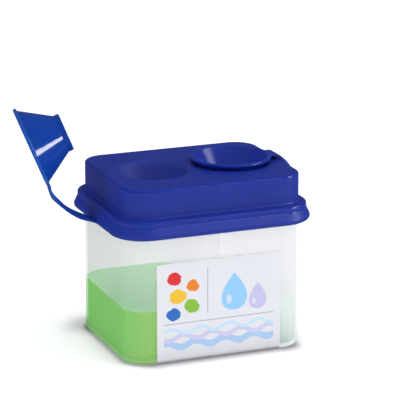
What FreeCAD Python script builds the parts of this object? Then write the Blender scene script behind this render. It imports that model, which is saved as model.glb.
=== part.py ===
"""Brush washing jar: a divided tub, a lid with two funnel wells, and two tethered stoppers.

Millimetres. The origin is the middle of the jar's base, +X runs to the right along the
front, +Y to the back and +Z up. The left stopper is modelled open, the right one closed.
"""
import FreeCAD, Part
import Sketcher
import math
import os
import re

doc = FreeCAD.newDocument("brush_washing_jar")
sheet = doc.addObject("Spreadsheet::Sheet", "sizes")

# Driving sizes: lengths in millimetres, and five angles in degrees
SIZES = {
    # Jar: outline, shell, hidden rim flange and the wall between its two compartments
    "jar_width": 116.0,
    "jar_depth": 93.0,
    "jar_corner": 15.0,
    "jar_height": 89.7,
    "jar_wall": 1.4,
    "jar_floor": 1.8,
    "jar_base_round": 2.5,
    "jar_inner_round": 2.0,
    "rim_width": 2.3,
    "rim_thickness": 2.4,
    "divider_thickness": 1.4,
    "divider_gap": 0.5,
    # Lid: skirt with its bead, ledge, dome, plug lip and inner rib
    "lid_wall": 1.8,
    "lid_fit": 0.3,
    "skirt_depth": 9.7,
    "bead_out": 3.7,
    "bead_height": 8.2,
    "bead_tuck": 0.2,
    "bead_low_round": 2.4,
    "ledge_round": 1.6,
    "dome_inset": 0.5,
    "dome_height": 18.3,
    "dome_round": 2.4,
    "dome_foot_round": 1.4,
    "lip_depth": 5.0,
    "lip_thickness": 1.4,
    "lip_fit": 0.3,
    "rib_thickness": 1.4,
    # Funnel wells in the dome
    "well_gap": 1.55,
    "well_wall": 1.7,
    "well_below_spigot": 1.2,
    "cone_clearance": 0.72,
    "throat_clearance": 0.35,
    "mouth_round": 5.0,
    "mouth_land": 2.675,
    # Stoppers: hollow cones with a flange, an ear for the strap and a short spigot
    "flange_overhang": 1.7,
    "flange_thickness": 2.2,
    "flange_lift": 1.8,
    "flange_round": 0.9,
    "cone_narrow_diameter": 23.6,
    "cone_tilt": 32.45,
    "spigot_length": 3.5,
    "spigot_round": 0.5,
    "stopper_wall": 1.7,
    "stopper_floor": 1.6,
    "ear_setback": 1.7,
    "ear_overlap": 1.6,
    # Straps: curved strips that bend where they meet the skirt's tab and the stopper's ear
    "strap_width": 13.0,
    "strap_thickness": 1.5,
    "strap_round": 0.7,
    "hinge_gap": 0.35,
    "root_out": 1.1,
    "root_up": 2.9,
    "tab_tilt": 22.0,
    "tab_length": 4.2,
    "left_strap_sag": 2.6,
    "right_strap_sag": 5.6,
    "strap_swing": 70.0,
    "stopper_swing": 44.0,
    "rim_skew": 15.8,
    # Label on the front of the jar
    "label_side_margin": 2.5,
    "label_top_margin": 17.0,
    "label_bottom": 3.0,
    "label_corner": 1.0,
    "label_thickness": 0.2,
    # How far a cut runs past the face it starts from, and how near two places count as one
    "overrun": 1.0,
    "same_place": 0.01,
}
for row, (alias, number) in enumerate(SIZES.items(), 1):
    sheet.set(f"A{row}", alias)
    sheet.set(f"B{row}", str(number))
    sheet.setAlias(f"B{row}", alias)
doc.recompute()


def bound(formula):
    """Write each size's name in a formula as a reference to its cell."""
    return re.sub(r"[a-z_]+", lambda word: f"sizes.{word[0]}" if word[0] in SIZES else word[0], formula)


def size(formula):
    """The number that a formula comes to: a length in millimetres, or an angle in degrees."""
    found = sheet.evalExpression(bound(formula))
    return getattr(found, "Value", found)


# Places that several pieces share, as formulas of the sizes
LEDGE_TOP = "(jar_height + lid_wall)"
DOME_TOP = f"({LEDGE_TOP} + dome_height)"
SKIRT_LOW = "(jar_height - skirt_depth)"
LIP_LOW = "(jar_height - lip_depth)"
SKIRT_OUT = "(rim_width + lid_fit + lid_wall + bead_out)"
DOME_FLAT_X = "(jar_width / 2 - dome_inset - dome_round)"
DOME_FLAT_Y = "(jar_depth / 2 - dome_inset - dome_round)"
MOUTH_OUT = f"min(({DOME_FLAT_X} - well_gap / 2 - mouth_land) / 2; {DOME_FLAT_Y} - mouth_land)"
WELL_X = f"({MOUTH_OUT} + well_gap / 2)"
CONE_SLOPE = "tan(cone_tilt)"
MOUTH_RUN = "tan((90 - cone_tilt) / 2)"
WELL_TOP = f"({MOUTH_OUT} - mouth_round * {MOUTH_RUN})"
CONE_WIDE = f"({WELL_TOP} - cone_clearance + {CONE_SLOPE} * flange_lift)"
CONE_NARROW = "(cone_narrow_diameter / 2)"
CONE_LENGTH = f"(({CONE_WIDE} - {CONE_NARROW}) / {CONE_SLOPE})"
THROAT = f"({CONE_NARROW} + throat_clearance)"
FLANGE_OUT = f"({CONE_WIDE} + flange_overhang)"
FLANGE_LOW = f"({DOME_TOP} + flange_lift)"
ROOT_X = f"(jar_width / 2 + {SKIRT_OUT} + root_out)"
ROOT_Z = f"({SKIRT_LOW} + root_up)"
RIM_X = "(jar_width / 2 - dome_inset - ear_setback)"
RIM_Z = f"({FLANGE_LOW} + strap_thickness / 2)"
EAR_TIP = f"({RIM_X} - {WELL_X})"
STRAP_CHORD = f"(sqrt(({ROOT_X} - {RIM_X}) ^ 2 + ({RIM_Z} - {ROOT_Z}) ^ 2))"


def new_body(label):
    body = doc.addObject("PartDesign::Body", label)
    body.Label = label
    return body


def new_sketch(body, name, role, right="0", up="0", out="0"):
    """A sketch on one of the body's origin planes, moved along the sketch's own three directions."""
    sketch = body.newObject("Sketcher::SketchObject", name)
    plane = next(item for item in body.Origin.OriginFeatures if item.Role == role)
    sketch.AttachmentSupport = [(plane, "")]
    sketch.MapMode = "FlatFace"
    for axis, formula in zip("xyz", (right, up, out)):
        sketch.setExpression(f"AttachmentOffset.Base.{axis}", bound(formula))
    return sketch


def dimension(sketch, constraint, name, formula):
    """Add a named dimension to a sketch and bind it to a formula of sizes."""
    index = sketch.addConstraint(constraint)
    sketch.renameConstraint(index, name)
    sketch.setExpression(f"Constraints.{name}", bound(formula))


def draw_rounded_rectangle(sketch, width, depth, corner):
    """Four sides and four equal corner arcs, centred on the sketch's origin."""
    half_w, half_d, radius = size(width) / 2, size(depth) / 2, size(corner)
    arcs = []
    for quarter, (sx, sy) in enumerate(((1, 1), (-1, 1), (-1, -1), (1, -1))):
        centre = FreeCAD.Vector(sx * (half_w - radius), sy * (half_d - radius), 0)
        circle = Part.Circle(centre, FreeCAD.Vector(0, 0, 1), radius)
        start = quarter * math.pi / 2
        arcs.append(sketch.addGeometry(Part.ArcOfCircle(circle, start, start + math.pi / 2)))
    following = arcs[1:] + arcs[:1]
    sides = []
    for first, second in zip(arcs, following):
        start = sketch.Geometry[first].EndPoint
        end = sketch.Geometry[second].StartPoint
        sides.append(sketch.addGeometry(Part.LineSegment(start, end)))
    for side, first, second in zip(sides, arcs, following):
        sketch.addConstraint(Sketcher.Constraint("Tangent", first, 2, side, 1))
        sketch.addConstraint(Sketcher.Constraint("Tangent", side, 2, second, 1))
    for side, kind in zip(sides, ("Horizontal", "Vertical", "Horizontal", "Vertical")):
        sketch.addConstraint(Sketcher.Constraint(kind, side))
    for arc in arcs[1:]:
        sketch.addConstraint(Sketcher.Constraint("Equal", arcs[0], arc))
    sketch.addConstraint(Sketcher.Constraint("Symmetric", arcs[0], 3, arcs[2], 3, -1, 1))
    top, left, low, right = sides
    dimension(sketch, Sketcher.Constraint("Radius", arcs[0], radius), "corner", corner)
    dimension(sketch, Sketcher.Constraint("DistanceX", left, 1, right, 1, 2 * half_w), "width", width)
    dimension(sketch, Sketcher.Constraint("DistanceY", low, 1, top, 1, 2 * half_d), "depth", depth)


def draw_polygon(sketch, points):
    """A closed outline of straight sides: each corner is two formulas, and "0" puts it on an axis."""
    places = [FreeCAD.Vector(size(x), size(y), 0) for x, y in points]
    sides = []
    for start, end in zip(places, places[1:] + places[:1]):
        sides.append(sketch.addGeometry(Part.LineSegment(start, end)))
    for side, after in zip(sides, sides[1:] + sides[:1]):
        sketch.addConstraint(Sketcher.Constraint("Coincident", side, 2, after, 1))
    for side, place, formulas in zip(sides, places, points):
        for kind, axis, value, formula in zip(("DistanceX", "DistanceY"), (-2, -1), place, formulas):
            if formula == "0":
                sketch.addConstraint(Sketcher.Constraint("PointOnObject", side, 1, axis))
            else:
                limit = Sketcher.Constraint(kind, -1, 1, side, 1, value)
                dimension(sketch, limit, f"{kind}_{side}", formula)


def draw_rectangle(sketch, left, right, half_depth):
    """A rectangle between two places, even about the sketch's horizontal axis."""
    low = f"0 - {half_depth}"
    draw_polygon(sketch, [(left, low), (right, low), (right, half_depth), (left, half_depth)])


def pad(body, sketch, length, both_ways=False, taper="0 deg"):
    """Raise a sketch's outline into the body, to one side or half to each side. A taper below zero draws it in."""
    feature = body.newObject("PartDesign::Pad", sketch.Name + "_pad")
    feature.Profile = sketch
    feature.SideType = "Symmetric" if both_ways else "One side"
    feature.setExpression("Length", bound(length))
    feature.setExpression("TaperAngle", bound(taper))
    doc.recompute()


def pocket(body, sketch, length, upward=False):
    """Cut a sketch's outline out of the body, and stop if the cut took nothing away."""
    before = body.Shape.Volume
    feature = body.newObject("PartDesign::Pocket", sketch.Name + "_pocket")
    feature.Profile = sketch
    feature.Reversed = upward
    feature.setExpression("Length", bound(length))
    doc.recompute()
    if body.Shape.Volume >= before:
        raise RuntimeError(f"{feature.Name} cuts nothing")


def turn(body, sketch, kind="Revolution", angle="360 deg"):
    """Turn a sketch about its own upright axis, half the angle each way, to add it or cut it away."""
    before = body.Shape.Volume if body.Tip else 0.0
    feature = body.newObject(f"PartDesign::{kind}", sketch.Name + "_turn")
    feature.Profile = sketch
    feature.ReferenceAxis = (sketch, ["V_Axis"])
    feature.Midplane = True
    feature.setExpression("Angle", bound(angle))
    doc.recompute()
    if (body.Shape.Volume < before) != (kind == "Groove"):
        raise RuntimeError(f"{feature.Name} does not add or cut as it should")


def fillet(body, name, radius, wanted):
    """Round those edges of the body so far for which wanted(edge) holds."""
    base = body.Tip
    chosen = [f"Edge{number}" for number, edge in enumerate(base.Shape.Edges, 1) if wanted(edge)]
    feature = body.newObject("PartDesign::Fillet", name)
    feature.Base = (base, chosen)
    feature.setExpression("Radius", bound(radius))
    doc.recompute()


def is_level(edge, height):
    """Whether an edge lies flat at a height."""
    box = edge.BoundBox
    return max(abs(box.ZMin - height), abs(box.ZMax - height)) < size("same_place")


def on_outline(height, offset):
    """A test for the edges, at one height, of the jar's outline grown by one offset."""
    def wanted(edge):
        box = edge.BoundBox
        across = max(box.XMax, -box.XMin) - size("jar_width / 2")
        along = max(box.YMax, -box.YMin) - size("jar_depth / 2")
        grown = max(across, along)
        return is_level(edge, size(height)) and abs(grown - size(offset)) < size("same_place")
    return wanted


def on_circle(height, radius):
    """A test for the full circles of one radius at one height."""
    def wanted(edge):
        if not isinstance(edge.Curve, Part.Circle) or not edge.isClosed():
            return False
        return is_level(edge, size(height)) and abs(edge.Curve.Radius - size(radius)) < size("same_place")
    return wanted


def runs_across(edge):
    """Whether an edge is straight and parallel to Y, as the ends of straps, tabs and ears are."""
    return isinstance(edge.Curve, Part.Line) and abs(edge.Curve.Direction.y) > math.cos(math.radians(1))


def outline(body, name, height, offset):
    """A sketch of the jar's outline, grown evenly by an offset, at a height."""
    sketch = new_sketch(body, name, "XY_Plane", out=height)
    width, depth = (f"{across} + 2 * {offset}" for across in ("jar_width", "jar_depth"))
    draw_rounded_rectangle(sketch, width, depth, f"jar_corner + {offset}")
    return sketch


def make_jar():
    """A thin-walled tub with a rim flange, and a divider that leaves two equal compartments."""
    body = new_body("jar")
    inside = "(0 - jar_wall)"
    pad(body, outline(body, "jar_outline", "0", "0"), "jar_height")
    fillet(body, "jar_base_edge", "jar_base_round", on_outline("0", "0"))
    pad(body, outline(body, "jar_rim", "jar_height - rim_thickness", "rim_width"), "rim_thickness")
    pocket(body, outline(body, "jar_cavity", "jar_height", inside), "jar_height - jar_floor")
    fillet(body, "jar_floor_edge", "jar_inner_round", on_outline("jar_floor", inside))
    divider = new_sketch(body, "jar_divider", "XY_Plane", out="jar_floor / 2")
    half = "divider_thickness / 2"
    draw_rectangle(divider, f"0 - {half}", half, "(jar_depth - jar_wall) / 2")
    pad(body, divider, f"{LIP_LOW} - divider_gap - jar_floor / 2")
    return body


def well_radius(rise):
    """The radius of a well's cone at a height above the dome's top."""
    return f"({WELL_TOP} + {CONE_SLOPE} * {rise})"


def add_funnels(body):
    """Two funnels under the dome's top: solid cones first, then the wells bored through them."""
    throat_top = f"(({THROAT} - {WELL_TOP}) / {CONE_SLOPE})"
    low = f"(flange_lift - {CONE_LENGTH} - spigot_length - well_below_spigot)"
    buried = "(0 - lid_wall / 2)"
    below = f"({low} - overrun)"
    sides = {"left": f"0 - {WELL_X}", "right": WELL_X}
    for side, place in sides.items():
        cone = new_sketch(body, f"{side}_funnel", "XZ_Plane", right=place, up=DOME_TOP)
        draw_polygon(cone, [("0", buried), (f"{well_radius(buried)} + well_wall", buried),
                            (f"{THROAT} + well_wall", throat_top), (f"{THROAT} + well_wall", low), ("0", low)])
        turn(body, cone)
    for side, place in sides.items():
        bore = new_sketch(body, f"{side}_well", "XZ_Plane", right=place, up=DOME_TOP)
        draw_polygon(bore, [("0", "overrun"), (well_radius("overrun"), "overrun"), (THROAT, throat_top),
                            (THROAT, below), ("0", below)])
        turn(body, bore, "Groove")
    wall_share = "0.9"
    wall_limit = f"{wall_share} * ({WELL_TOP} - {THROAT}) / sin(cone_tilt) / {MOUTH_RUN}"
    fillet(body, "well_mouths", f"min(mouth_round; {wall_limit})", on_circle(DOME_TOP, WELL_TOP))


def add_tabs(body):
    """A short tilted tab on each side of the skirt, which the strap's lower end meets."""
    for side, sign in (("left", -1), ("right", 1)):
        tab = new_sketch(body, f"{side}_tab", "XZ_Plane")
        corners = []
        for back, lift in (("(hinge_gap + tab_length)", -1), ("hinge_gap", -1),
                           ("hinge_gap", 1), ("(hinge_gap + tab_length)", 1)):
            rise = f"({lift} * strap_thickness / 2)"
            x = f"{sign} * ({ROOT_X} - {back} * cos(tab_tilt) - {rise} * sin(tab_tilt))"
            z = f"{ROOT_Z} - {back} * sin(tab_tilt) + {rise} * cos(tab_tilt)"
            corners.append((x, z))
        draw_polygon(tab, corners)
        pad(body, tab, "strap_width", both_ways=True)

    def at_tab_end(edge):
        near_hinge = size(f"{ROOT_X} - hinge_gap - strap_thickness / 2")
        return runs_across(edge) and abs(edge.CenterOfMass.x) > near_hinge
    fillet(body, "tab_ends", "strap_round", at_tab_end)


def make_lid():
    """Skirt, ledge and dome in one shell, with a plug lip, a rib over the divider and two wells."""
    body = new_body("lid")
    skirt_in = "(rim_width + lid_fit)"
    ledge_out = f"({skirt_in} + lid_wall)"
    dome_out = "(0 - dome_inset)"
    dome_in = "(0 - dome_inset - lid_wall)"
    lip_out = "(0 - jar_wall - lip_fit)"
    lip_in = f"({lip_out} - lip_thickness)"
    flare = "-1 * atan((bead_out + bead_tuck) / bead_height)"
    pad(body, outline(body, "lid_skirt", SKIRT_LOW, ledge_out), "skirt_depth + lid_wall")
    pad(body, outline(body, "lid_bead", SKIRT_LOW, SKIRT_OUT), "bead_height", taper=flare)
    pad(body, outline(body, "lid_dome", LEDGE_TOP, dome_out), "dome_height")
    fillet(body, "dome_edge", "dome_round", on_outline(DOME_TOP, dome_out))
    fillet(body, "dome_foot", "dome_foot_round", on_outline(LEDGE_TOP, dome_out))
    fillet(body, "ledge_edge", "ledge_round", on_outline(LEDGE_TOP, ledge_out))
    fillet(body, "bead_low_edge", "bead_low_round", on_outline(SKIRT_LOW, SKIRT_OUT))
    pocket(body, outline(body, "skirt_cavity", SKIRT_LOW, skirt_in), "skirt_depth", upward=True)
    pad(body, outline(body, "lid_lip", LIP_LOW, lip_out), "lip_depth")
    pocket(body, outline(body, "lip_cavity", LIP_LOW, lip_in), "lip_depth + lid_wall", upward=True)
    pocket(body, outline(body, "dome_cavity", LEDGE_TOP, dome_in), "dome_height - lid_wall", upward=True)
    rib = new_sketch(body, "lid_rib", "XY_Plane", out=LIP_LOW)
    half = "rib_thickness / 2"
    draw_rectangle(rib, f"0 - {half}", half, f"(jar_depth / 2 + {lip_out} - lip_fit / 2)")
    pad(body, rib, f"{DOME_TOP} - lid_wall / 2 - {LIP_LOW}")
    add_funnels(body)
    add_tabs(body)
    return body


def make_stopper(label):
    """A hollow cone on its own axis: the flange's underside is at zero and the ear points along +X."""
    body = new_body(label)
    tip = f"(0 - {CONE_LENGTH} - spigot_length)"
    cone_low = f"0 - {CONE_LENGTH}"
    mouth = f"{CONE_WIDE} - stopper_wall + {CONE_SLOPE} * flange_thickness"
    inner = f"{CONE_NARROW} - stopper_wall"
    floor = f"{tip} + stopper_floor"
    profile = new_sketch(body, f"{label}_profile", "XZ_Plane")
    draw_polygon(profile, [
        ("0", tip), (CONE_NARROW, tip), (CONE_NARROW, cone_low), (CONE_WIDE, "0"), (FLANGE_OUT, "0"),
        (FLANGE_OUT, "flange_thickness"), (mouth, "flange_thickness"), (inner, cone_low), (inner, floor),
        ("0", floor)])
    turn(body, profile)
    rims = [on_circle("0", FLANGE_OUT), on_circle("flange_thickness", FLANGE_OUT),
            on_circle("flange_thickness", mouth)]
    fillet(body, f"{label}_rim", "flange_round", lambda edge: any(rim(edge) for rim in rims))
    fillet(body, f"{label}_tip", "spigot_round", on_circle(tip, CONE_NARROW))
    ear = new_sketch(body, f"{label}_ear", "XY_Plane")
    back, end = f"{FLANGE_OUT} - ear_overlap", f"{EAR_TIP} - hinge_gap"
    half, low = "strap_width / 2", "0 - strap_width / 2"
    skewed = f"{end} - strap_width / 2 * tan(rim_skew)"
    draw_polygon(ear, [(back, low), (skewed, low), (end, "0"), (end, half), (back, half)])
    pad(body, ear, "strap_thickness")

    def at_ear_end(edge):
        return runs_across(edge) and edge.CenterOfMass.x > size(f"({FLANGE_OUT} + {EAR_TIP}) / 2")
    fillet(body, f"{label}_ear_end", "strap_round", at_ear_end)
    return body


def make_strap(label, sag):
    """A curved strip from its lower hinge line at the origin up +Z to its upper one, bowed to +X."""
    body = new_body(label)
    bend = f"(({STRAP_CHORD} ^ 2 / 4 + {sag} ^ 2) / (2 * {sag}))"
    section = new_sketch(body, f"{label}_section", "XY_Plane", right=f"{sag} - {bend}", out=f"{STRAP_CHORD} / 2")
    draw_rectangle(section, f"{bend} - strap_thickness / 2", f"{bend} + strap_thickness / 2", "strap_width / 2")
    sweep = f"2 * (2 * atan(2 * {sag} / {STRAP_CHORD}) - hinge_gap / {bend} * 1 rad)"
    turn(body, section, angle=sweep)
    fillet(body, f"{label}_ends", "strap_round", runs_across)
    return body


def make_label():
    """A thin film on the jar's front wall, above the rounded base edge."""
    body = new_body("front_label")
    width = "jar_width - 2 * jar_corner - 2 * label_side_margin"
    height = f"({SKIRT_LOW} - label_top_margin - label_bottom)"
    film = new_sketch(body, "label_outline", "XZ_Plane", up=f"label_bottom + {height} / 2", out="jar_depth / 2")
    draw_rounded_rectangle(film, width, height, "label_corner")
    pad(body, film, "label_thickness")
    return body


def turned(degrees, point, skew=0.0):
    """A turn about a level line through a point, which is skewed from Y towards X by an angle."""
    skew = math.radians(skew)
    rotation = FreeCAD.Rotation(FreeCAD.Vector(math.sin(skew), math.cos(skew), 0), degrees)
    return FreeCAD.Placement(FreeCAD.Vector(0, 0, 0), rotation, point)


def place_pair(strap, stopper, sign, is_open):
    """Put a strap and its stopper on one side, closed, then swing them open at the two hinge lines."""
    root = FreeCAD.Vector(sign * size(ROOT_X), 0, size(ROOT_Z))
    rim = FreeCAD.Vector(sign * size(RIM_X), 0, size(RIM_Z))
    lean = math.degrees(math.atan2(rim.x - root.x, rim.z - root.z))
    facing = FreeCAD.Rotation(FreeCAD.Vector(0, 0, 1), 0 if sign > 0 else 180)
    upright = FreeCAD.Rotation(FreeCAD.Vector(0, 1, 0), lean)
    strap_closed = FreeCAD.Placement(root, upright * facing)
    stopper_closed = FreeCAD.Placement(FreeCAD.Vector(sign * size(WELL_X), 0, size(FLANGE_LOW)), facing)
    opened = sign if is_open else 0
    swing = turned(opened * size("strap_swing"), root)
    tip = turned(opened * size("stopper_swing"), rim, size("rim_skew"))
    strap.Placement = swing * strap_closed
    stopper.Placement = swing * tip * stopper_closed


left_strap = make_strap("left_strap", "left_strap_sag")
left_stopper = make_stopper("left_stopper")
right_strap = make_strap("right_strap", "right_strap_sag")
right_stopper = make_stopper("right_stopper")
pieces = [make_jar(), make_lid(), left_strap, left_stopper, right_strap, right_stopper, make_label()]
place_pair(left_strap, left_stopper, -1, is_open=True)
place_pair(right_strap, right_stopper, 1, is_open=False)
doc.recompute()

for item in doc.Objects:
    if {"Invalid", "Error"} & set(item.State):
        raise RuntimeError(f"{item.Name} failed: {item.State}")
for piece in pieces:
    if piece.Shape.isNull() or not piece.Shape.isValid():
        raise RuntimeError(f"{piece.Label} has no valid shape")
os.makedirs("parts", exist_ok=True)
for piece in pieces:
    piece.Shape.exportStep(f"parts/{piece.Label}.step")
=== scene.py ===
"""Brush washing jar in Blender: a milky divided tub, a blue lid with two wells, and two tethered stoppers.

Metres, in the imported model's frame. Sizes are written in millimetres and scaled by MM.
"""
import bmesh
import bpy
import math
import numpy as np
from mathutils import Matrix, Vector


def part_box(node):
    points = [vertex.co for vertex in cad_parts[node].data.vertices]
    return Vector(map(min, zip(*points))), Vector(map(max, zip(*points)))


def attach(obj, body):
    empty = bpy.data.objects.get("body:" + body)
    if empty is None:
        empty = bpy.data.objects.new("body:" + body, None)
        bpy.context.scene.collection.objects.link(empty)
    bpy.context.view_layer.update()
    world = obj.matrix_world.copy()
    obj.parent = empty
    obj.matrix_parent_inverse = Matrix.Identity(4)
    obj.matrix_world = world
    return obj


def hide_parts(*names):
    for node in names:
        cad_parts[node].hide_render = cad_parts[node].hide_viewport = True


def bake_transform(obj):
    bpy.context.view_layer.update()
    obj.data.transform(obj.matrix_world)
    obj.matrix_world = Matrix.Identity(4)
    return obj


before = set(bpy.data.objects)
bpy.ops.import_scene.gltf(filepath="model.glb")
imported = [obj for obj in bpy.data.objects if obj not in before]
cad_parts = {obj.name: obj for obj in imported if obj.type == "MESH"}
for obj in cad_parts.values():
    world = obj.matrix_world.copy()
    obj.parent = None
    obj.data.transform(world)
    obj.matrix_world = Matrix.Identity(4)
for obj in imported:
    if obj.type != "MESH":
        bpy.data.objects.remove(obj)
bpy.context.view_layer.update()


# The jar: one injection-moulded tub of natural, milky polypropylene with softly rounded corners.
# A flange round its mouth is hidden by the lid, and a wall moulded across the middle parts two waters.
MM = 0.001
JAR_CORNER = 15.0
JAR_BEND = 2.5
JAR_HALF = (58.0, 46.5)
JAR_WALL = 1.4
JAR_FLOOR = 1.8
JAR_TOP = 89.7
FLANGE_REACH = 17.3
FLANGE_UNDER = 87.3
DIVIDER_TOP = 84.2
DIVIDER_THICKNESS = 1.4
WATER_TOP = 33.6


def soften(corners, radii, steps=8):
    """Round the inner corners of an open line of straight runs by arcs that are tangent to both runs.
    With a and b the arms from an arc's centre c to its ends, and w the angle between them, its points are
    c + (a sin((1 - t) w) + b sin(t w)) / sin w."""
    corners = np.asarray(corners, float)
    t = np.linspace(0.0, 1.0, steps + 1)[:, None]
    line = [corners[:1]]
    for before, corner, after, radius in zip(corners, corners[1:], corners[2:], radii):
        back = (before - corner) / np.linalg.norm(before - corner)
        on = (after - corner) / np.linalg.norm(after - corner)
        half = math.acos(float(np.clip(back @ on, -1.0, 1.0))) / 2
        middle = (back + on) / np.linalg.norm(back + on)
        centre = corner + middle * radius / math.sin(half)
        a = corner + back * radius / math.tan(half) - centre
        b = corner + on * radius / math.tan(half) - centre
        w = math.pi - 2 * half
        line.append(centre + (a * np.sin((1 - t) * w) + b * np.sin(t * w)) / math.sin(w))
    line.append(corners[-1:])
    return np.concatenate(line)


def brace(line, margin=0.3):
    """Add a point at a margin from both ends of each long run, so that smooth shading stays flat between
    them: the points are start + m u and end - m u, with u the run's direction and m the margin."""
    start, end = line[:-1], line[1:]
    length = np.linalg.norm(end - start, axis=1, keepdims=True)
    step = (end - start) / np.maximum(length, 1e-9) * margin
    points = np.stack([start, start + step, end - step], axis=1)
    is_long = length[:, 0] > 4 * margin
    keep = np.stack([np.ones_like(is_long), is_long, is_long], axis=1)
    return np.concatenate([points[keep], line[-1:]])


def rectangle_path(half_x, half_y, corner, turn_steps=12, side_steps=16):
    """The spine and the outward arms of a rounded rectangle, anticlockwise from its right side's upper end.
    At a corner the spine point stands still while the arm turns, and along a side the arm is square to it."""
    x, y = half_x - corner, half_y - corner
    bends = np.array([(x, y), (-x, y), (-x, -y), (x, -y)])
    turn = np.linspace(0.0, math.pi / 2, turn_steps + 1)
    along = np.linspace(0.0, 1.0, side_steps + 1)[1:-1, None]
    spine, angle = [], []
    for quarter in range(4):
        here, there = bends[quarter], bends[(quarter + 1) % 4]
        spine += [np.repeat(here[None], turn_steps + 1, axis=0), here + (there - here) * along]
        angle += [quarter * math.pi / 2 + turn, np.full(side_steps - 1, (quarter + 1) * math.pi / 2)]
    angle = np.concatenate(angle)
    return np.concatenate(spine), np.stack([np.cos(angle), np.sin(angle)], axis=1)


def carry(path, line, close=""):
    """Carry a profile round a path: the point for (r, z) is the spine point plus r times its arm, at height
    z. With close, the first or last ring is drawn in to the middle along its own height."""
    spine, arm = path
    rings = [np.column_stack([spine + arm * r, np.full(len(spine), z)]) for r, z in line]
    shares = (0.0, 0.5, 1.0)
    if "first" in close:
        rings = [rings[0] * (share, share, 1) for share in shares[:-1]] + rings
    if "last" in close:
        rings = rings + [rings[-1] * (share, share, 1) for share in shares[-2::-1]]
    return np.stack(rings)


def make_piece(name, grids, sharp=50.0):
    """Join grids of points, in millimetres, into one mesh. Each grid's rows are closed rings. Rings that
    meet are merged, faces without area are dropped, and all faces are turned outwards."""
    points, faces, count = [], [], 0
    for grid in grids:
        rows, columns = grid.shape[:2]
        index = np.arange(rows * columns).reshape(rows, columns) + count
        after = np.roll(index, -1, axis=1)
        faces.append(np.stack([index[:-1], after[:-1], after[1:], index[1:]], axis=-1).reshape(-1, 4))
        points.append(grid.reshape(-1, 3) * MM)
        count += rows * columns
    mesh = bpy.data.meshes.new(name)
    mesh.from_pydata(np.concatenate(points), [], np.concatenate(faces).tolist())
    work = bmesh.new()
    work.from_mesh(mesh)
    bmesh.ops.remove_doubles(work, verts=work.verts, dist=2e-6)
    bmesh.ops.dissolve_degenerate(work, edges=work.edges, dist=1e-7)
    bmesh.ops.recalc_face_normals(work, faces=work.faces)
    work.to_mesh(mesh)
    work.free()
    mesh.polygons.foreach_set("use_smooth", np.ones(len(mesh.polygons), bool))
    mesh.set_sharp_from_angle(angle=math.radians(sharp))
    piece = bpy.data.objects.new(name, mesh)
    bpy.context.scene.collection.objects.link(piece)
    return piece


def strip(path, width, thickness, round_over, left=0.0, right=0.0, steps=5):
    """Carry a flat section with rounded edges along a path in the XZ plane. A section's point is the path's
    point plus its height times the path's normal, and its width runs along Y. left and right raise the faces
    on those sides of the path, and like width may change along it. Both ends are drawn in to a point."""
    path = np.asarray(path, float)
    width, left, right = (np.broadcast_to(value, len(path))[:, None] for value in (width, left, right))
    tangent = np.gradient(path, axis=0)
    tangent /= np.linalg.norm(tangent, axis=1, keepdims=True)
    normal = np.stack([-tangent[:, 1], tangent[:, 0]], axis=1)
    turn = np.linspace(0.0, math.pi / 2, steps + 1)
    angle = np.concatenate([turn + quarter * math.pi / 2 for quarter in range(4)])
    side = np.repeat([1, -1, -1, 1], steps + 1)
    face = np.repeat([1, 1, -1, -1], steps + 1)
    across = side * (width / 2 - round_over) + round_over * np.cos(angle)
    raised = np.where(face > 0, left, -right)
    above = face * (thickness / 2 - round_over) + round_over * np.sin(angle) + raised
    x = path[:, :1] + normal[:, :1] * above
    z = path[:, 1:] + normal[:, 1:] * above
    grid = np.stack([x, across, z], axis=-1)
    ends = [np.broadcast_to(grid[end].mean(axis=0), grid[end].shape)[None] for end in (0, -1)]
    return np.concatenate([ends[0], grid, ends[1]])


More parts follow.
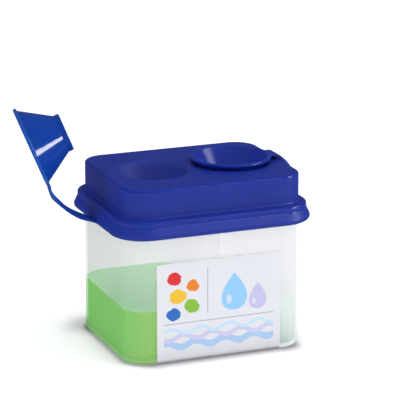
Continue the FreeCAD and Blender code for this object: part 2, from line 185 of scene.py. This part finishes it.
class Shade:
    """A socket in a material's node tree. Sums, differences, products and quotients add Math nodes."""

    def __init__(self, tree, socket=None):
        self.tree = tree
        self.socket = socket

    def node(self, kind, settings=None, inputs=None, output=0):
        """Add any node: its settings first, then its inputs by name or number, and hand on one output."""
        made = self.tree.nodes.new(kind)
        for key, value in (settings or {}).items():
            setattr(made, key, value)
        for key, value in (inputs or {}).items():
            if isinstance(value, Shade):
                self.tree.links.new(value.socket, made.inputs[key])
            else:
                made.inputs[key].default_value = value
        return Shade(self.tree, made.outputs[output])

    def math(self, operation, *values):
        return self.node("ShaderNodeMath", {"operation": operation}, dict(enumerate(values)))

    def __add__(self, other):
        return self.math("ADD", self, other)

    def __sub__(self, other):
        return self.math("SUBTRACT", self, other)

    def __mul__(self, other):
        return self.math("MULTIPLY", self, other)

    def __truediv__(self, other):
        return self.math("DIVIDE", self, other)

    def __rsub__(self, other):
        return self.math("SUBTRACT", other, self)

    def __abs__(self):
        return self.math("ABSOLUTE", self)

    __radd__ = __add__
    __rmul__ = __mul__

    def ramp(self, low, high):
        """0 below low and 1 above high, with a smooth step between."""
        limits = {"Value": self, "From Min": low, "From Max": high}
        return self.node("ShaderNodeMapRange", {"interpolation_type": "SMOOTHSTEP"}, limits)

    def blend(self, first, second):
        """A colour that goes from first to second with this value."""
        inputs = {"Factor": self, 6: first, 7: second}
        return self.node("ShaderNodeMix", {"data_type": "RGBA"}, inputs, output=2)

    def place(self):
        """The point's own place in the object's frame."""
        return self.node("ShaderNodeTexCoord", output=3)

    def axes(self):
        """The place along X, Y and Z, in millimetres."""
        inputs = {"Vector": self.place()}
        parts = [self.node("ShaderNodeSeparateXYZ", inputs=inputs, output=axis) for axis in range(3)]
        return [part * (1 / MM) for part in parts]

    def noise(self, scale, detail=2.0, roughness=0.5, stretch=None):
        """Soft noise of a number of lumps to the metre, stretched along the axes if asked."""
        place = self.place()
        if stretch:
            place = self.node("ShaderNodeMapping", inputs={"Vector": place, "Scale": stretch})
        inputs = {"Vector": place, "Scale": scale, "Detail": detail, "Roughness": roughness}
        return self.node("ShaderNodeTexNoise", inputs=inputs)

    def bump(self, height, distance, strength):
        """A normal from a height of 0 to 1, which stands for a distance in millimetres."""
        inputs = {"Height": height, "Distance": distance * MM, "Strength": strength}
        return self.node("ShaderNodeBump", inputs=inputs)


def new_finish(name):
    """A new material and a Shade to build it from."""
    material = bpy.data.materials.new(name)
    material.use_nodes = True
    material.node_tree.nodes.clear()
    return material, Shade(material.node_tree)


def close_finish(shade, inputs):
    """End a material in a Principled shader with these inputs."""
    shader = shade.node("ShaderNodeBsdfPrincipled", inputs=inputs)
    output = shade.tree.nodes.new("ShaderNodeOutputMaterial")
    shade.tree.links.new(shader.socket, output.inputs["Surface"])


def milky_finish(name, haze_dry, haze_green, haze_clear, seam=0.0):
    """Natural polypropylene, clouded by faint flow lines, with a soft satin gloss. Below the water line the
    wall takes on the colour of the water, which seems to fill its whole thickness, a yellower green at the
    front than on the left wall, and the slab of the floor, seen edge on, is the least clear. A painted glow,
    faint on the left and bright from the middle rightwards, stands for light that enters on the right and
    shines through the plastic; below the water line it takes the water's colour. A faint seam runs down the
    front, where the divider meets the wall."""
    material, shade = new_finish(name)
    x, y, z = shade.axes()
    dry = z.ramp(WATER_TOP - 0.4, WATER_TOP + 1.2)
    right = x.ramp(-0.8, 0.8)
    slab = 1 - z.ramp(1.5, 5.0)
    line = (1 - abs(x).ramp(0.2, 0.8)) * (1 - y.ramp(-46.0, -44.0)) * seam
    cloud = shade.noise(45.0, 3.0)
    flow = shade.noise(30.0, 4.0, 0.6, stretch=(3.0, 3.0, 0.5))
    haze = cloud * 0.6 + flow * 0.4
    grain = shade.noise(2600.0, 1.0)
    waves = shade.noise(70.0, 2.0)
    milk = haze.blend((0.76, 0.76, 0.765, 1.0), (0.83, 0.83, 0.835, 1.0))
    green = x.ramp(-60.0, -49.0).blend((0.26, 0.60, 0.19, 1.0), (0.37, 0.585, 0.205, 1.0))
    stain = right.blend(green, (0.70, 0.85, 0.80, 1.0))
    # Painted glow, standing for light shining through the plastic: faint on the left wall, bright from the
    # middle rightwards, and below the water line in the water's colour.
    glow = x.ramp(-58.0, -5.0).blend((0.05, 0.05, 0.05, 1.0), (0.66, 0.65, 0.74, 1.0))
    wet_painted_glow = right.blend((0.22, 0.60, 0.14, 1.0), (0.70, 0.85, 0.80, 1.0))
    wet = (haze_green + slab * 0.35) * (1 - right) + right * haze_clear
    close_finish(shade, {
        "Base Color": line.blend(dry.blend(stain, milk), (0.62, 0.62, 0.64, 1.0)),
        "Roughness": 0.26 + haze * 0.16,
        "IOR": 1.49,
        "Specular IOR Level": 0.45,
        "Alpha": wet + dry * (haze_dry - wet) + (haze - 0.5) * 0.06 + line * 0.4,
        "Emission Color": dry.blend(wet_painted_glow, glow),
        "Emission Strength": 0.2,
        "Normal": shade.bump(grain * 0.2 + waves * 0.8, 0.05, 0.35),
    })
    return material


jar_path = rectangle_path(*JAR_HALF, JAR_CORNER)
inner = JAR_CORNER - JAR_WALL
jar_line = soften(
    [(0, 0), (JAR_CORNER, 0), (JAR_CORNER, FLANGE_UNDER), (FLANGE_REACH, FLANGE_UNDER),
     (FLANGE_REACH, JAR_TOP), (inner, JAR_TOP), (inner, JAR_FLOOR), (0, JAR_FLOOR)],
    [JAR_BEND, 0.4, 0.4, 0.4, 0.4, 2.0])
jar_shell = make_piece("jar_shell", [carry(jar_path, brace(jar_line), "first last")])
divider_line = [(0, z) for z in np.linspace(JAR_FLOOR - 0.3, DIVIDER_TOP, 12)]
divider_length = 2 * (JAR_HALF[1] - JAR_WALL) + 0.6
divider = make_piece("jar_divider", [strip(divider_line, divider_length, DIVIDER_THICKNESS, 0.5)])
jar_shell.data.materials.append(milky_finish("milky_polypropylene", 0.27, 0.45, 0.14, 0.6))
divider.data.materials.append(milky_finish("milky_polypropylene_divider", 0.06, 0.05, 0.05))
for piece in (jar_shell, divider):
    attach(piece, "jar")
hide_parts("jar")


# The rinsing water: clouded green in the left compartment and nearly clear in the right one.
# It lies a hair off the walls, and its surface creeps up them in a small meniscus.
MENISCUS = 0.9
WATER_GAP = 0.06


def water_body(name, side):
    """The compartment's hollow up to the water's height. The far side of the whole outline is pushed flat
    onto the divider: x becomes the smaller of x and the divider's face, mirrored on the right."""
    wall = inner - WATER_GAP
    floor = JAR_FLOOR + WATER_GAP
    line = soften([(0, floor), (wall, floor), (wall, WATER_TOP + MENISCUS)], [2.0])
    creep = np.linspace(0.0, 1.0, 7)[1:]
    rim = np.column_stack([wall - 3.0 * creep, WATER_TOP + MENISCUS * (1 - creep) ** 3])
    grid = carry(jar_path, np.concatenate([brace(line), rim, [(0, WATER_TOP)]]), "first last")
    grid[..., 0] = side * np.maximum(grid[..., 0] * side, DIVIDER_THICKNESS / 2 + WATER_GAP)
    return make_piece(name, [grid], sharp=35.0)


def green_water_finish():
    """Water clouded by paint: opaque, with slow swirls of a yellower green. A painted glow stands for light
    that comes in through the walls and out of it again: palest at its surface towards the back, none at its
    base."""
    material, shade = new_finish("green_rinsing_water")
    swirl = shade.noise(28.0, 3.0, 0.55)
    _, y, z = shade.axes()
    surface = z.ramp(WATER_TOP - 0.25, WATER_TOP - 0.05)
    body = swirl.blend((0.225, 0.535, 0.108, 1.0), (0.255, 0.555, 0.122, 1.0))
    # Painted glow, standing for light scattered out of the water: none at its base, and at its surface from
    # green at the front to pale mint at the back.
    painted_body_glow = z.ramp(2.0, 7.0).blend((0.0, 0.0, 0.0, 1.0), (0.09, 0.30, 0.06, 1.0))
    painted_surface_glow = y.ramp(-45.0, 45.0).blend((0.0, 0.54, 0.03, 1.0), (0.38, 0.84, 0.40, 1.0))
    close_finish(shade, {
        "Base Color": surface.blend(body, (0.10, 0.52, 0.07, 1.0)),
        "Roughness": 0.07 + swirl * 0.04,
        "IOR": 1.33,
        "Emission Color": surface.blend(painted_body_glow, painted_surface_glow),
        "Emission Strength": 0.5,
    })
    return material


def clear_water_finish():
    """Nearly clean water with a breath of mint."""
    material, shade = new_finish("clear_rinsing_water")
    swirl = shade.noise(30.0, 2.0)
    close_finish(shade, {
        "Base Color": swirl.blend((0.66, 0.85, 0.78, 1.0), (0.74, 0.90, 0.84, 1.0)),
        "Roughness": 0.05 + swirl * 0.03,
        "IOR": 1.33,
        "Alpha": 0.12 + swirl * 0.05,
    })
    return material


green_water = water_body("green_water", -1)
green_water.data.materials.append(green_water_finish())
clear_water = water_body("clear_water", 1)
clear_water.data.materials.append(clear_water_finish())
for water in (green_water, clear_water):
    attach(water, "jar")


# The label: a printed film stuck on the front of the jar, satin white with a plain painterly design.
# Five dabs of colour, two drops, waves and thin rules are printed on it, with no words.
# Its hem, a strip of the same film, goes on down round the jar's lower edge.
HEM_REACH = 2.6
HEM_TURN = 66.0
HEM_LAP = 1.2
HEM_THICKNESS = 0.14


def label_finish():
    """White film. A dab is 1 where its radius exceeds the distance to its centre, wobbled by noise. A drop's
    half width at height v is proportional to sqrt(v) (1 - v). A wave is a band about z = level + sin."""
    material, shade = new_finish("printed_film")
    x, _, z = shade.axes()
    wobble = shade.noise(260.0, 2.0) - 0.5
    paper = shade.noise(35.0, 3.0)
    colour = paper.blend((0.755, 0.765, 0.805, 1.0), (0.795, 0.805, 0.845, 1.0))
    inked = 0.0
    waves = ((11.0, 2.2, (0.42, 0.62, 0.88)), (15.6, 1.5, (0.62, 0.62, 0.84)),
             (19.6, 1.0, (0.55, 0.77, 0.93)))
    for level, half, ink in waves:
        sway = shade.math("SINE", x * (2 * math.pi / 19.0) + level * 0.6) * 1.6
        off = abs(z - level - sway)
        side = 1 - abs(x).ramp(35.8, 36.2)
        band = (1 - off.ramp(half - 0.12, half + 0.12)) * side
        colour = band.blend(colour, (*ink, 1.0))
        inked = band + inked
    drops = ((10.0, 29.0, 24.0, 8.6, (0.30, 0.62, 0.93)), (25.5, 28.0, 17.0, 6.0, (0.56, 0.56, 0.83)))
    for middle, foot, height, half, ink in drops:
        v = shade.math("MINIMUM", shade.math("MAXIMUM", (z - foot) / height, 0.0), 1.0)
        reach = shade.math("SQRT", v) * (1 - v) * (half / 0.385)
        drop = (reach - abs(x - middle)).ramp(0.0, 0.25)
        glint_x, glint_z = x - (middle - half * 0.4), z - (foot + height * 0.3)
        glint = shade.math("SQRT", glint_x * glint_x + glint_z * glint_z * 0.35)
        shine = 1 - glint.ramp(half * 0.16, half * 0.22)
        colour = (drop * (1 - shine * 0.75)).blend(colour, (*ink, 1.0))
        inked = drop + inked
    dabs = ((-29.0, 53.0, 4.7, (0.76, 0.03, 0.03)), (-27.0, 41.6, 5.3, (0.90, 0.55, 0.03)),
            (-30.0, 30.4, 4.3, (0.02, 0.16, 0.56)), (-17.4, 47.6, 4.1, (0.88, 0.24, 0.02)),
            (-17.8, 34.8, 4.9, (0.27, 0.55, 0.05)))
    for middle, height, radius, ink in dabs:
        dx, dz = x - middle, z - height
        far = shade.math("SQRT", dx * dx + dz * dz * 1.25) + wobble * 3.4
        dab = 1 - far.ramp(radius - 0.15, radius + 0.15)
        colour = dab.blend(colour, (*ink, 1.0))
        inked = dab + inked
    rules = ((x, z, 24.6, 0.14, -36.0, 36.0), (z, x, -7.5, 0.14, 29.0, 58.0))
    for along, across, level, half, first, last in rules:
        run = along.ramp(first, first + 0.2) * (1 - along.ramp(last - 0.2, last))
        rule = (1 - abs(across - level).ramp(half, half + 0.12)) * run
        colour = rule.blend(colour, (0.30, 0.31, 0.34, 1.0))
    grain = shade.noise(1500.0, 2.0)
    ink_height = shade.math("MINIMUM", inked, 1.0)
    close_finish(shade, {
        "Base Color": colour,
        "Roughness": 0.40 - ink_height * 0.08 + paper * 0.08,
        "IOR": 1.46,
        "Normal": shade.bump(grain * 0.5 + ink_height * 0.5, 0.02, 0.5),
    })
    return material


film = label_finish()
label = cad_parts["front_label"]
label.data.materials.clear()
label.data.materials.append(film)
label_low, label_high = (np.array(corner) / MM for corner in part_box("front_label"))
under = np.radians(np.linspace(0.0, HEM_TURN, 12))
hem_arm = np.stack([-np.cos(under), -np.sin(under)], axis=1) * HEM_REACH
bend = hem_arm + (JAR_BEND - JAR_HALF[1], JAR_BEND)
hem_line = np.concatenate([[(bend[0, 0], label_low[2] + HEM_LAP)], bend])
hem = strip(hem_line, label_high[0] - label_low[0], HEM_THICKNESS, 0.06)[..., [1, 0, 2]]
label_hem = make_piece("label_hem", [hem])
label_hem.data.materials.append(film)
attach(label_hem, "jar")


# The lid: one moulding of deep blue polypropylene, pushed over the jar's rim.
# Its flared skirt, ledge and dome follow the jar's outline, and two funnel wells sink through the dome's top.
DOME_TOP = 109.8
UNDER_TOP = 108.0
LEDGE_TOP = 91.5
LIP_LOW = 84.7
RIB_LENGTH = 88.0
WELL_X = 26.6
PLATE_R = 10.1


def half_dome_top(side, well_line):
    """One half of the dome's top with its well. A ring runs round the half's outline and down the mid line.
    Each of its points has an angle about the well's axis, and the well's profile (r, z) is turned through
    those angles: a point is the axis plus r (cos, sin), at height z."""
    spine, arm = jar_path
    edge = spine + arm * PLATE_R
    loop = edge[edge[:, 0] > -1e-6]
    bearing = np.arctan2(loop[:, 1], loop[:, 0] + 1e-9)
    loop = loop[np.argsort(bearing)]
    last = loop[-1, 1]
    middle = np.column_stack([np.zeros(30), np.linspace(last, -last, 32)[1:-1]])
    loop = np.concatenate([loop, middle])
    angle = np.arctan2(loop[:, 1], loop[:, 0] - WELL_X)
    turn = np.stack([np.cos(angle), np.sin(angle)], axis=1)
    rings = [np.column_stack([loop, np.full(len(loop), DOME_TOP)])]
    rings += [np.column_stack([turn * r + (WELL_X, 0), np.full(len(loop), z)]) for r, z in well_line]
    rings.append(np.column_stack([loop, np.full(len(loop), UNDER_TOP)]))
    return np.stack(rings) * (side, 1, 1)


def blue_finish(name, dark, light, rough, ribbed=False, rim=None):
    """Moulded blue plastic: a fine satin grain, slow waviness and faint scuffs. On the lid, the rib under the
    dome leaves a faint upright swell outside, the edges are glossier and the wells duller. A rim, given by a
    point and an axis, is painted paler above that point, as light shining through it."""
    material, shade = new_finish(name)
    x, y, z = shade.axes()
    gloss = rough
    cloud = shade.noise(38.0, 3.0, 0.55)
    grain = shade.noise(2300.0, 2.0)
    waves = shade.noise(55.0, 2.0)
    scuff = shade.noise(420.0, 3.0, 0.7, stretch=(1.0, 1.0, 0.15)).ramp(0.60, 0.72)
    height = grain * 0.12 + waves * 0.88
    colour = cloud.blend((*dark, 1.0), (*light, 1.0))
    # Painted light: a paler blue above the rim's point stands for light shining through it.
    if rim is not None:
        foot, axis = rim
        rise = x * axis[0] + y * axis[1] + z * axis[2] - float(foot @ axis)
        colour = rise.ramp(-1.0, 0.6).blend(colour, (0.012, 0.085, 0.42, 1.0))
    if ribbed:
        swell = 1 - abs(x).ramp(0.0, 4.5)
        height = height + swell * z.ramp(93.0, 96.0) * 3.0
        from_well = abs(x) - WELL_X
        in_well = 1 - shade.math("SQRT", from_well * from_well + y * y).ramp(22.0, 25.0)
        outer = shade.math("MAXIMUM", abs(x).ramp(52.0, 55.0), abs(y).ramp(38.0, 41.0))
        dome_edge = outer * z.ramp(107.9, 108.5) * (1 - z.ramp(109.5, 109.79))
        ledge_edge = z.ramp(89.9, 90.4) * (1 - z.ramp(91.2, 91.45))
        crease = z.ramp(87.0, 87.5) * (1 - z.ramp(88.1, 88.6))
        gloss = rough + in_well * 0.22 - (dome_edge + ledge_edge + crease) * 0.2
    close_finish(shade, {
        "Base Color": colour,
        "Roughness": gloss + cloud * 0.06 + scuff * 0.07,
        "IOR": 1.49,
        "Specular IOR Level": 0.45,
        "Normal": shade.bump(height, 0.12, 0.5),
    })
    return material


lid_line = soften(
    [(PLATE_R, DOME_TOP), (14.5, DOME_TOP), (14.5, LEDGE_TOP), (19.4, LEDGE_TOP), (19.4, 87.78),
     (23.1, 80.0), (17.6, 80.0), (17.6, JAR_TOP), (13.3, JAR_TOP), (13.3, LIP_LOW), (11.9, LIP_LOW),
     (11.9, LEDGE_TOP), (12.7, LEDGE_TOP), (12.7, UNDER_TOP), (PLATE_R, UNDER_TOP)],
    [1.6, 1.4, 1.6, 0.8, 2.4, 0.4, 0.5, 0.4, 0.5, 0.5, 0.4, 0.3, 1.0])
well_line = soften(
    [(26.05, DOME_TOP), (23.08, DOME_TOP), (12.15, 92.61), (12.15, 88.49), (13.85, 88.49), (13.85, 92.61),
     (23.63, UNDER_TOP), (26.05, UNDER_TOP)],
    [5.0, 1.5, 0.4, 0.4, 1.5, 1.0])
lid = make_piece("lid_shell", [carry(jar_path, brace(lid_line))]
                 + [half_dome_top(side, brace(well_line)) for side in (-1, 1)])
rib_line = [(0, z) for z in np.linspace(LIP_LOW, UNDER_TOP + 0.4, 6)]
rib = make_piece("lid_rib", [strip(rib_line, RIB_LENGTH, 1.4, 0.4)])
LID_BLUES = ((0.007, 0.024, 0.285), (0.010, 0.033, 0.335))
lid_blue = blue_finish("blue_lid_plastic", *LID_BLUES, 0.36, ribbed=True)
for piece in (lid, rib):
    piece.data.materials.append(lid_blue)
    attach(piece, "lid")
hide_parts("lid")


# The stoppers: two hollow cones of softer, glossy blue plastic, each with a rolled flange and a short spigot.
# The left one is swung open over the side and the right one sits in its well. The left one and its strap
# are painted a paler, more cyan blue, as light shining through them.
FLANGE_LOW = 111.6
RIM = (55.8, 112.35)
ROOT = (67.2, 82.9)
STRAP_SWING = 70.0
STOPPER_SWING = 44.0
RIM_SKEW = -15.8


def swung(points, about, degrees, skew=0.0):
    """Turn points about a level line k through (x, z), which is skewed from Y towards X by an angle. With p
    the arm from there and t the turn, the new arm is p cos t + (k x p) sin t + k (k . p) (1 - cos t)."""
    c, s = math.cos(math.radians(degrees)), math.sin(math.radians(degrees))
    k = np.array([math.sin(math.radians(skew)), math.cos(math.radians(skew)), 0.0])
    centre = np.array([about[0], 0.0, about[1]])
    p = points - centre
    return centre + p * c + np.cross(k, p) * s + k * (p @ k)[..., None] * (1 - c)


def opened(points, share, skew=0.0):
    """Where points of a right stopper go when its strap has swung open by a share of its range."""
    return swung(swung(points, RIM, STOPPER_SWING * share, skew), ROOT, STRAP_SWING * share)


stopper_line = soften(
    [(0, -21.9), (11.8, -21.9), (11.8, -18.4), (23.5, 0), (25.2, 0), (25.2, 2.2), (23.2, 2.2),
     (10.1, -18.4), (10.1, -20.3), (0, -20.3)],
    [0.6, 0.8, 0.6, 0.9, 0.9, 0.9, 1.2, 0.8])
flange = np.array([(WELL_X, 0.0, FLANGE_LOW), (WELL_X, 0.0, FLANGE_LOW + 1.0)])
foot, tip = opened(flange, 1.0, RIM_SKEW) * (-1, 1, 1)
# Painted light: the open stopper and its strap get a paler, more cyan copy of the closed one's blues, as
# light shining through them, and its rim is paler still.
OPEN_LIT_THROUGH_BLUES = ((0.004, 0.042, 0.31), (0.006, 0.055, 0.36))
CLOSED_BLUES = ((0.008, 0.028, 0.32), (0.012, 0.038, 0.37))
open_blue = blue_finish("blue_open_stopper", *OPEN_LIT_THROUGH_BLUES, 0.08, rim=(foot, tip - foot))
closed_blue = blue_finish("blue_closed_stopper", *CLOSED_BLUES, 0.20)
around = np.linspace(0.0, 2 * math.pi, 120, endpoint=False)
circle = (np.zeros((len(around), 2)), np.stack([np.cos(around), np.sin(around)], axis=1))
stopper_kinds = ((-1, "left_stopper", 1.0, open_blue), (1, "right_stopper", 0.0, closed_blue))
for side, name, share, blue in stopper_kinds:
    grid = opened(carry(circle, brace(stopper_line)) + (WELL_X, 0, FLANGE_LOW), share, RIM_SKEW)
    stopper = make_piece(name + "_cone", [grid * (side, 1, 1)])
    stopper.data.materials.append(blue)
    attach(stopper, name)
    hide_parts(name)


# The straps: thin strips moulded on with the stoppers, welded to a tab on the skirt at their lower ends.
# Each is drawn in two lengths that meet at its middle.
# Between its bends a strap is thicker: the closed one inwards, and the open one outwards, clear of the dome.
STRAP_WIDTH = 13.0
STRAP_THICKNESS = 1.5
SWELL = 0.9
TAB_TILT = math.radians(22.0)
TAB_LENGTH = 4.2
EAR_LENGTH = 5.3
SKIRT_FLARE = 2.4
FLARE_LENGTH = 13.0
BEND = 7.0
WINDOW = 29


def eased(share):
    """A smooth step of a share of 0 to 1, held to that range: 3 s^2 - 2 s^3."""
    share = np.clip(share, 0, 1)
    return share * share * (3 - 2 * share)


def strap_route(sag, share):
    """The strap's middle line: out along the tab, round an arc of the given sag and in along the stopper's
    ear. The line is sampled evenly and averaged over a short window, so that its two bends are curves."""
    ends = np.array([(RIM[0], 0.0, RIM[1]), (RIM[0] - EAR_LENGTH, 0.0, RIM[1])])
    rim, ear = opened(ends, share)[:, [0, 2]]
    root = np.array(ROOT)
    tab = root - np.array([math.cos(TAB_TILT), math.sin(TAB_TILT)]) * TAB_LENGTH
    chord = np.linalg.norm(rim - root)
    up = (rim - root) / chord
    out = np.array([up[1], -up[0]])
    radius = (chord ** 2 / 4 + sag ** 2) / (2 * sag)
    half = 2 * math.atan(2 * sag / chord)
    angle = np.linspace(-half, half, 80)[:, None]
    arc = (root + rim) / 2 + out * (sag - radius) + radius * (out * np.cos(angle) + up * np.sin(angle))
    corners = np.concatenate([tab[None], arc, ear[None]])
    length = np.concatenate([[0.0], np.cumsum(np.linalg.norm(np.diff(corners, axis=0), axis=1))])
    even = np.linspace(0.0, length[-1], 241)
    line = np.stack([np.interp(even, length, corners[:, axis]) for axis in (0, 1)], axis=1)
    window = np.hanning(WINDOW)
    reach = WINDOW // 2
    padded = np.concatenate([2 * line[0] - line[reach:0:-1], line, 2 * line[-1] - line[-2:-reach - 2:-1]])
    smooth = [np.convolve(padded[:, axis], window / window.sum(), "valid") for axis in (0, 1)]
    return np.stack(smooth, axis=1)


def twisted(grid, share, lean):
    """Turn a strap's points with the skewed stopper, fully where lean is 1 and not at all where it is 0: a
    point p becomes p + lean (p turned - p)."""
    closed = swung(swung(grid, ROOT, -STRAP_SWING * share), RIM, -STOPPER_SWING * share)
    lean = np.concatenate([lean[:1], lean, lean[-1:]])[:, None, None]
    return grid + (opened(closed, share, RIM_SKEW) - grid) * lean


strap_kinds = ((-1, "left", 2.6, 1.0, open_blue, 0.0, 0.8), (1, "right", 5.3, 0.0, closed_blue, 1.0, 0.0))
for side, name, sag, share, blue, inward, stand_off in strap_kinds:
    route = strap_route(sag, share)
    step = np.linalg.norm(np.diff(route, axis=0), axis=1)
    travelled = np.concatenate([[0.0], np.cumsum(step)])
    to_go = travelled[-1] - travelled
    width = STRAP_WIDTH + SKIRT_FLARE * np.clip(1 - travelled / FLARE_LENGTH, 0, 1) ** 2
    full = SWELL * np.clip((to_go - 5.0) / 7.0, 0, 1) * np.clip((travelled - 5.0) / 6.0, 0, 1)
    stood = eased(np.clip((to_go - 1.5) / 4.0, 0, 1) * np.clip((36.0 - to_go) / 24.0, 0, 1))
    inner_swell = full * inward - stand_off * stood
    outer_swell = full - inner_swell
    cut = len(route) // 2
    root_end = np.searchsorted(travelled, TAB_LENGTH)
    rim_start = np.searchsorted(travelled, travelled[-1] - EAR_LENGTH)
    lean = eased((travelled - travelled[rim_start] + 9.0) / 11.0)
    lengths = (("root", slice(0, cut + 1), ("lid", f"{name}_strap"), root_end, root_end + 2),
               ("rim", slice(cut, None), (f"{name}_strap", f"{name}_stopper"), rim_start - 2, rim_start))
    for end, part, bodies, first, last in lengths:
        grid = strip(route[part], width[part], STRAP_THICKNESS, 0.6, inner_swell[part], outer_swell[part])
        grid = twisted(grid, share, lean[part])
        strap = make_piece(f"{name}_strap_{end}", [grid * (side, 1, 1)])
        strap.data.materials.append(blue)
        middle = route[(first + last) // 2]
        along = route[last] - route[first]
        along = along / np.linalg.norm(along) * BEND / 2
        start, stop = (middle - along) * (side, 1) * MM, (middle + along) * (side, 1) * MM
        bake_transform(strap)
        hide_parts(f"{name}_strap")


# The studio: a white sheet in a white room, two soft boxes on the right, a small one in front, a broad fill.
# A soft contact shade is drawn on the sheet. The camera has a long lens, at the photograph's viewing angle.
FLOOR_DROP = 0.00005
FLOOR_HALF = 6.0
MIDDLE = (0, 0, 0.06)
CAMERA_PLACE = (-0.51396, -1.29706, 0.48064)
CAMERA_DIP = 15.74
CAMERA_TURN = -21.85
LENS = 210.2


def area_light(name, place, target, size, power):
    """A square soft box at a place, facing a target."""
    data = bpy.data.lights.new(name, "AREA")
    data.size = size
    data.energy = power
    light = bpy.data.objects.new(name, data)
    bpy.context.scene.collection.objects.link(light)
    aim = np.subtract(target, place)
    light.location = place
    light.rotation_euler = (math.atan2(math.hypot(aim[0], aim[1]), -aim[2]), 0, math.atan2(-aim[0], aim[1]))
    return light


floor_mesh = bpy.data.meshes.new("floor_sheet")
floor_corners = np.array([(-1, -1, 0), (1, -1, 0), (1, 1, 0), (-1, 1, 0)]) * FLOOR_HALF - (0, 0, FLOOR_DROP)
floor_mesh.from_pydata(floor_corners, [], [(0, 1, 2, 3)])
floor_sheet = bpy.data.objects.new("floor_sheet", floor_mesh)
bpy.context.scene.collection.objects.link(floor_sheet)
floor_material, floor_shade = new_finish("white_sheet")
floor_x, floor_y, _ = floor_shade.axes()
past_x, past_y = (floor_shade.math("MAXIMUM", abs(along) - (half - JAR_CORNER), 0.0)
                  for along, half in zip((floor_x, floor_y), JAR_HALF))
gap = floor_shade.math("SQRT", past_x * past_x + past_y * past_y) - JAR_CORNER
ring = 1 - gap.ramp(-3.0, 14.0)
contact = 1 - gap.ramp(-1.5, 4.5)
from_left = floor_x.ramp(-58.0, -40.0)
weight = 1 - floor_x.ramp(50.0, 60.0) * 0.8
rear = (1 - gap.ramp(6.0, 22.0)) * floor_y.ramp(15.0, 45.0) * (1 - floor_x.ramp(-45.0, -10.0))
edge = ring * (0.25 + from_left * 0.6) + contact * (0.5 - from_left * 0.4)
shade = gap.ramp(-2.6, -0.6) * (edge * weight + rear * 0.35)
close_finish(floor_shade, {
    "Base Color": shade.blend((0.93, 0.93, 0.935, 1.0), (0.20, 0.18, 0.20, 1.0)),
    "Roughness": 0.9,
    "Specular IOR Level": 0.1,
    "Emission Color": shade.blend((1.0, 1.0, 1.0, 1.0), (0.1, 0.1, 0.1, 1.0)),
    "Emission Strength": 0.35,
})
floor_sheet.visible_glossy = False
floor_mesh.materials.append(floor_material)
area_light("low_key", (1.23, -0.96, 0.42), MIDDLE, 0.32, 6.2)
area_light("side_key", (1.26, -0.46, 0.93), MIDDLE, 0.6, 5.0)
area_light("front_card", (0.62, -1.31, 0.74), MIDDLE, 0.3, 1.0)
fill = area_light("fill", (-1.6, -0.5, 0.75), MIDDLE, 1.2, 8.5)
fill.visible_glossy = False
# The painted glow of the walls and of the green water leaves the sheet as it is.
spared = bpy.data.collections.new("spared_by_the_glow")
spared.objects.link(floor_sheet)
spared.collection_objects[0].light_linking.link_state = "EXCLUDE"
for piece in (jar_shell, green_water):
    piece.light_linking.receiver_collection = spared
# The room lights the object from overhead, looks dark in its gloss, and is a plain white backdrop.
world = bpy.data.worlds.new("white_room")
world.use_nodes = True
sky = Shade(world.node_tree)
direction = sky.node("ShaderNodeTexCoord", output=0)
up = sky.node("ShaderNodeSeparateXYZ", inputs={"Vector": direction}, output=2)
glow = up.ramp(0.35, 0.75).blend((0.05, 0.05, 0.055, 1.0), (1.0, 1.0, 1.02, 1.0))
mirrored = sky.node("ShaderNodeLightPath", output=3).blend(glow, (0.09, 0.09, 0.10, 1.0))
seen = sky.node("ShaderNodeLightPath").blend(mirrored, (0.96, 0.96, 0.97, 1.0))
room = sky.node("ShaderNodeBackground", inputs={"Color": seen})
world.node_tree.links.new(room.socket, world.node_tree.nodes["World Output"].inputs["Surface"])
bpy.context.scene.world = world
bpy.context.scene.view_settings.view_transform = "Standard"
lens = bpy.data.cameras.new("photographer")
lens.lens = LENS
lens.sensor_width = 36.0
camera = bpy.data.objects.new("photographer", lens)
camera.location = CAMERA_PLACE
camera.rotation_euler = (math.radians(90 - CAMERA_DIP), 0.0, math.radians(CAMERA_TURN))
bpy.context.scene.collection.objects.link(camera)
bpy.context.scene.camera = camera
